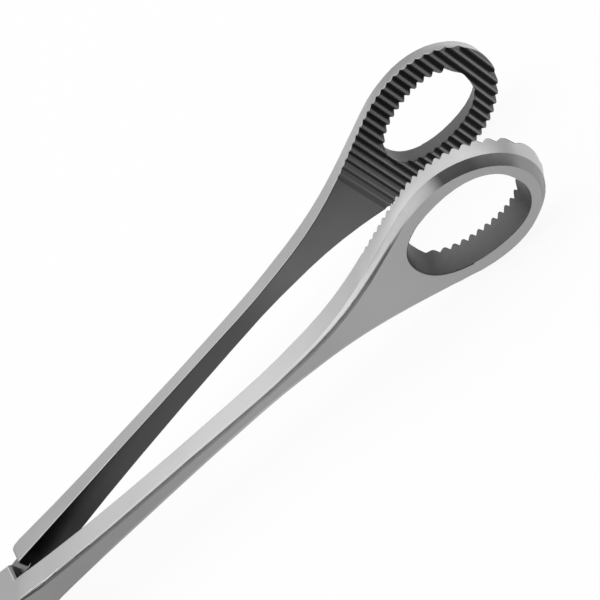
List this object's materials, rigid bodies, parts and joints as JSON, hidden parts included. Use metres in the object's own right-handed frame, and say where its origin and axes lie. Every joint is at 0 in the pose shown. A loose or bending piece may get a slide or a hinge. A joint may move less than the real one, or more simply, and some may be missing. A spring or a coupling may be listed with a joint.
{
  "type": "placenta forceps",
  "caption": "Long surgical grasping forceps: serrated oval window jaws, box lock, ratchet and finger rings.",
  "frame": {"origin": "centre of the box lock, on the axis of its pin and midway between the two cheek faces", "axes": "+X towards the jaw tips, halfway between the two jaws; +Z along the axis of the lock pin; the jaw of the tongue half lies on +Y and the jaw of the box half on -Y"},
  "size_m": [0.315, 0.0872, 0.0224],
  "materials": {
    "forged_steel": "satin stainless steel, finely brushed",
    "pin_steel": "satin stainless steel, ground flush with the cheeks"
  },
  "bodies": {
    "box_side": {"box_half": "forged_steel", "lock_pin": "pin_steel"},
    "tongue_side": {"tongue_half": "forged_steel"}
  },
  "joints": [
    {"name": "lock_hinge", "type": "hinge", "parent": "box_side", "child": "tongue_side", "pos_m": [0, 0, 0], "axis": [0, 0, 1], "range_deg": [-10.6, 29.4]}
  ]
}
